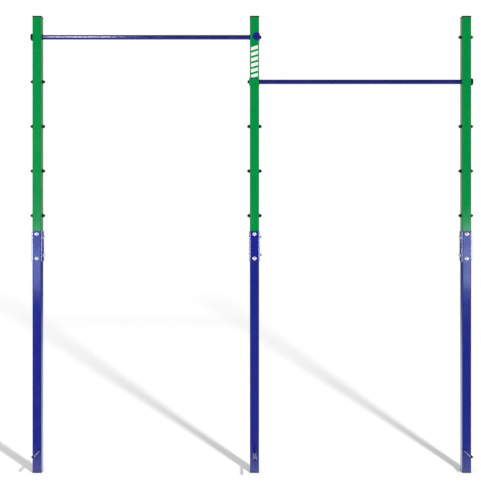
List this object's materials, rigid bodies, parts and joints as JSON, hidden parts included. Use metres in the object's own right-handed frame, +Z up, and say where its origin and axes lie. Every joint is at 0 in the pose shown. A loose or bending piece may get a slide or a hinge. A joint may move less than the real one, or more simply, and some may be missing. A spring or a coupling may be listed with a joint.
{
  "type": "two-height pull-up bar station",
  "caption": "Outdoor steel pull-up station: square posts in a row carry a high bar and a lower bar end to end, bolted at selectable hole levels, with spliced posts and anchor rods.",
  "frame": {"origin": "centre of the centre post's foot, on the plane that all three feet share", "axes": "+X to the right along the bars, +Y to the rear, +Z up the posts"},
  "size_m": [2.917, 0.355, 3],
  "materials": {
    "green_paint": "glossy powder coat, green",
    "blue_paint": "glossy powder coat, ultramarine blue",
    "zinc_plate": "bright zinc plate",
    "bare_steel": "turned bare steel",
    "dark_steel": "black-zinc steel",
    "black_plastic": "fine-grained moulded plastic, black",
    "black_rubber": "matt rubber",
    "white_decal": "self-adhesive film, white"
  },
  "bodies": {
    "frame": {"centre_anchor_rod": "blue_paint", "centre_foot_cap": "black_plastic", "centre_left_plugs": "black_plastic", "centre_lower_post": "blue_paint", "centre_right_plugs": "black_plastic", "centre_splice_bolts": "zinc_plate", "centre_splice_nuts": "zinc_plate", "centre_splice_sleeve": "blue_paint", "centre_splice_washers": "zinc_plate", "centre_top_cap": "black_plastic", "centre_upper_post": "green_paint", "left_anchor_rod": "blue_paint", "left_foot_cap": "black_plastic", "left_inner_plugs": "black_plastic", "left_lower_post": "blue_paint", "left_outer_plugs": "black_plastic", "left_splice_bolts": "zinc_plate", "left_splice_nuts": "zinc_plate", "left_splice_sleeve": "blue_paint", "left_splice_washers": "zinc_plate", "left_top_cap": "black_plastic", "left_upper_post": "green_paint", "lower_bar_centre_boss": "bare_steel", "lower_bar_centre_gasket": "black_rubber", "lower_bar_outer_boss": "bare_steel", "lower_bar_outer_gasket": "black_rubber", "lower_bar_tube": "blue_paint", "right_anchor_rod": "blue_paint", "right_foot_cap": "black_plastic", "right_inner_plugs": "black_plastic", "right_lower_post": "blue_paint", "right_outer_plugs": "black_plastic", "right_splice_bolts": "zinc_plate", "right_splice_nuts": "zinc_plate", "right_splice_sleeve": "blue_paint", "right_splice_washers": "zinc_plate", "right_top_cap": "black_plastic", "right_upper_post": "green_paint", "stripe_decal": "white_decal", "upper_bar_centre_boss": "bare_steel", "upper_bar_centre_gasket": "black_rubber", "upper_bar_outer_boss": "bare_steel", "upper_bar_outer_gasket": "black_rubber", "upper_bar_tube": "blue_paint"},
    "upper_outer_bolt": {"upper_bar_outer_bolt": "dark_steel", "upper_bar_outer_seat": "dark_steel"},
    "upper_outer_cover": {"upper_bar_outer_cover": "black_plastic"},
    "upper_centre_bolt": {"upper_bar_centre_bolt": "dark_steel", "upper_bar_centre_washer": "dark_steel", "upper_bar_centre_saddle": "blue_paint"},
    "lower_outer_bolt": {"lower_bar_outer_bolt": "dark_steel", "lower_bar_outer_seat": "dark_steel"},
    "lower_outer_cover": {"lower_bar_outer_cover": "black_plastic"},
    "lower_centre_bolt": {"lower_bar_centre_bolt": "dark_steel", "lower_bar_centre_washer": "dark_steel", "lower_bar_centre_saddle": "green_paint"}
  },
  "joints": [
    {"name": "upper_outer_bolt_draw", "type": "slide", "parent": "frame", "child": "upper_outer_bolt", "axis": [-1, 0, 0], "range_m": [0, 0.115]},
    {"name": "upper_outer_cover_pull", "type": "slide", "parent": "upper_outer_bolt", "child": "upper_outer_cover", "axis": [-1, 0, 0], "range_m": [0, 0.03]},
    {"name": "upper_centre_bolt_draw", "type": "slide", "parent": "frame", "child": "upper_centre_bolt", "axis": [1, 0, 0], "range_m": [0, 0.115]},
    {"name": "lower_outer_bolt_draw", "type": "slide", "parent": "frame", "child": "lower_outer_bolt", "axis": [1, 0, 0], "range_m": [0, 0.115]},
    {"name": "lower_outer_cover_pull", "type": "slide", "parent": "lower_outer_bolt", "child": "lower_outer_cover", "axis": [1, 0, 0], "range_m": [0, 0.03]},
    {"name": "lower_centre_bolt_draw", "type": "slide", "parent": "frame", "child": "lower_centre_bolt", "axis": [-1, 0, 0], "range_m": [0, 0.115]}
  ]
}
